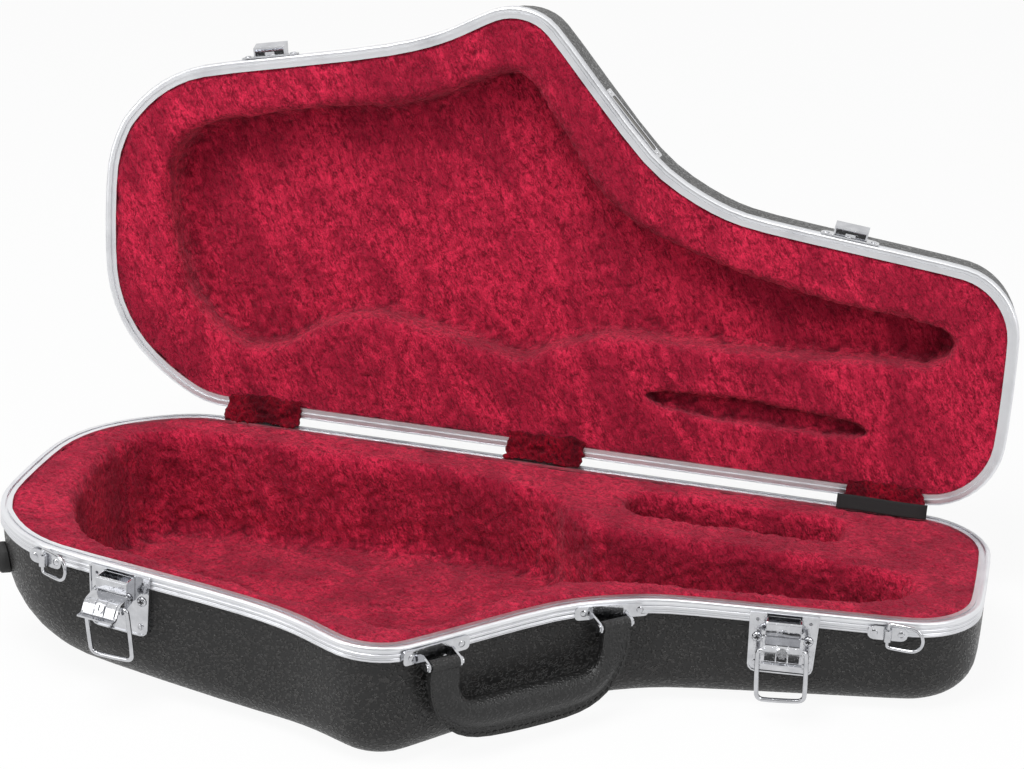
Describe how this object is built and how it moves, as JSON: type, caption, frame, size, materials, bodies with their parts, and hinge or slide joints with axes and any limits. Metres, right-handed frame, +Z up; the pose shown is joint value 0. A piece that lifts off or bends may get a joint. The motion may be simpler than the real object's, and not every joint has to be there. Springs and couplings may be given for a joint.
{
  "type": "alto saxophone case",
  "caption": "Open hard case shaped for an alto saxophone, with crimson plush wells, ribbed aluminium rims, draw latches and a padded handle.",
  "frame": {"origin": "on the flat bottom, under the middle of the length", "axes": "+X along the length from the deep bow end to the neck end, +Y towards the hinges, +Z up"},
  "size_m": [0.672, 0.4512, 0.4006],
  "materials": {
    "shell": "black moulded shell with a pressed leather grain, low sheen",
    "rim": "bright ribbed extrusion",
    "plush": "crimson pile over padding",
    "chrome": "polished plating",
    "leather": "black padded cover with stitched edge",
    "rubber": "dull black",
    "weave": "black woven tape, bare",
    "card": "blank off-white card"
  },
  "bodies": {
    "base": {"base_shell": "shell", "base_rim": "rim", "base_lining": "plush", "tag": "weave", "foot_bow": "rubber", "foot_base_1": "rubber", "foot_base_2": "rubber", "latch_plate_left": "chrome", "latch_housing_left": "chrome", "latch_pin_left": "chrome", "latch_screw_left_a": "chrome", "latch_screw_left_b": "chrome", "strap_plate_left": "chrome", "handle_bracket_left": "chrome", "handle_pin_left": "chrome", "latch_plate_right": "chrome", "latch_housing_right": "chrome", "latch_pin_right": "chrome", "latch_screw_right_a": "chrome", "latch_screw_right_b": "chrome", "strap_plate_right": "chrome", "handle_bracket_right": "chrome", "handle_pin_right": "chrome", "hinge_base_leaf_1": "chrome", "hinge_pin_1": "chrome", "hinge_flap_1": "plush", "hinge_base_leaf_2": "chrome", "hinge_pin_2": "chrome", "hinge_flap_2": "plush", "hinge_base_leaf_3": "chrome", "hinge_pin_3": "chrome", "hinge_flap_3": "plush"},
    "lid": {"lid_shell": "shell", "lid_rim": "rim", "lid_lining": "plush", "strike_left": "chrome", "strike_right": "chrome", "card_frame": "chrome", "card": "card", "foot_lid_1": "rubber", "foot_lid_2": "rubber", "hinge_lid_leaf_1": "chrome", "hinge_lid_leaf_2": "chrome", "hinge_lid_leaf_3": "chrome"},
    "handle": {"handle": "leather"},
    "lever_left": {"latch_lever_left": "chrome"},
    "bail_left": {"latch_bail_left": "chrome"},
    "ring_left": {"strap_ring_left": "chrome"},
    "lever_right": {"latch_lever_right": "chrome"},
    "bail_right": {"latch_bail_right": "chrome"},
    "ring_right": {"strap_ring_right": "chrome"}
  },
  "joints": [
    {"name": "lid_hinge", "type": "hinge", "parent": "base", "child": "lid", "pos_m": [0, 0.11, 0.0837], "axis": [0.9983, 0, -0.0581], "range_deg": [0, 99.34], "deforming": ["hinge_flap_1", "hinge_flap_2", "hinge_flap_3", "tag"]},
    {"name": "handle_swing", "type": "hinge", "parent": "base", "child": "handle", "pos_m": [0.05379, -0.14816, 0.0678], "axis": [-0.7313, -0.6807, 0.0425], "range_deg": [-2, 95]},
    {"name": "lever_left_swing", "type": "hinge", "parent": "base", "child": "lever_left", "pos_m": [-0.22, -0.16343, 0.07997], "axis": [0.9781, -0.2, -0.0569], "range_deg": [-15, 88]},
    {"name": "bail_left_swing", "type": "hinge", "parent": "lever_left", "child": "bail_left", "pos_m": [-0.22185, -0.17146, 0.07657], "axis": [0.9781, -0.2, -0.0569], "range_deg": [-88, 15]},
    {"name": "ring_left_swing", "type": "hinge", "parent": "base", "child": "ring_left", "pos_m": [-0.27465, -0.14393, 0.09126], "axis": [0.0581, 0, 0.9983], "range_deg": [-160, 4]},
    {"name": "lever_right_swing", "type": "hinge", "parent": "base", "child": "lever_right", "pos_m": [0.20668, -0.08457, 0.05515], "axis": [0.9931, 0.1018, -0.0578], "range_deg": [-15, 88]},
    {"name": "bail_right_swing", "type": "hinge", "parent": "lever_right", "child": "bail_right", "pos_m": [0.20731, -0.09272, 0.05161], "axis": [0.9931, 0.1018, -0.0578], "range_deg": [-88, 15]},
    {"name": "ring_right_swing", "type": "hinge", "parent": "base", "child": "ring_right", "pos_m": [0.27284, -0.0714, 0.05942], "axis": [0.0581, 0, 0.9983], "range_deg": [-160, 4]}
  ],
  "couplings": [
    {"joint": "bail_left_swing", "follows": "lever_left_swing", "ratio": -1},
    {"joint": "bail_right_swing", "follows": "lever_right_swing", "ratio": -1}
  ]
}
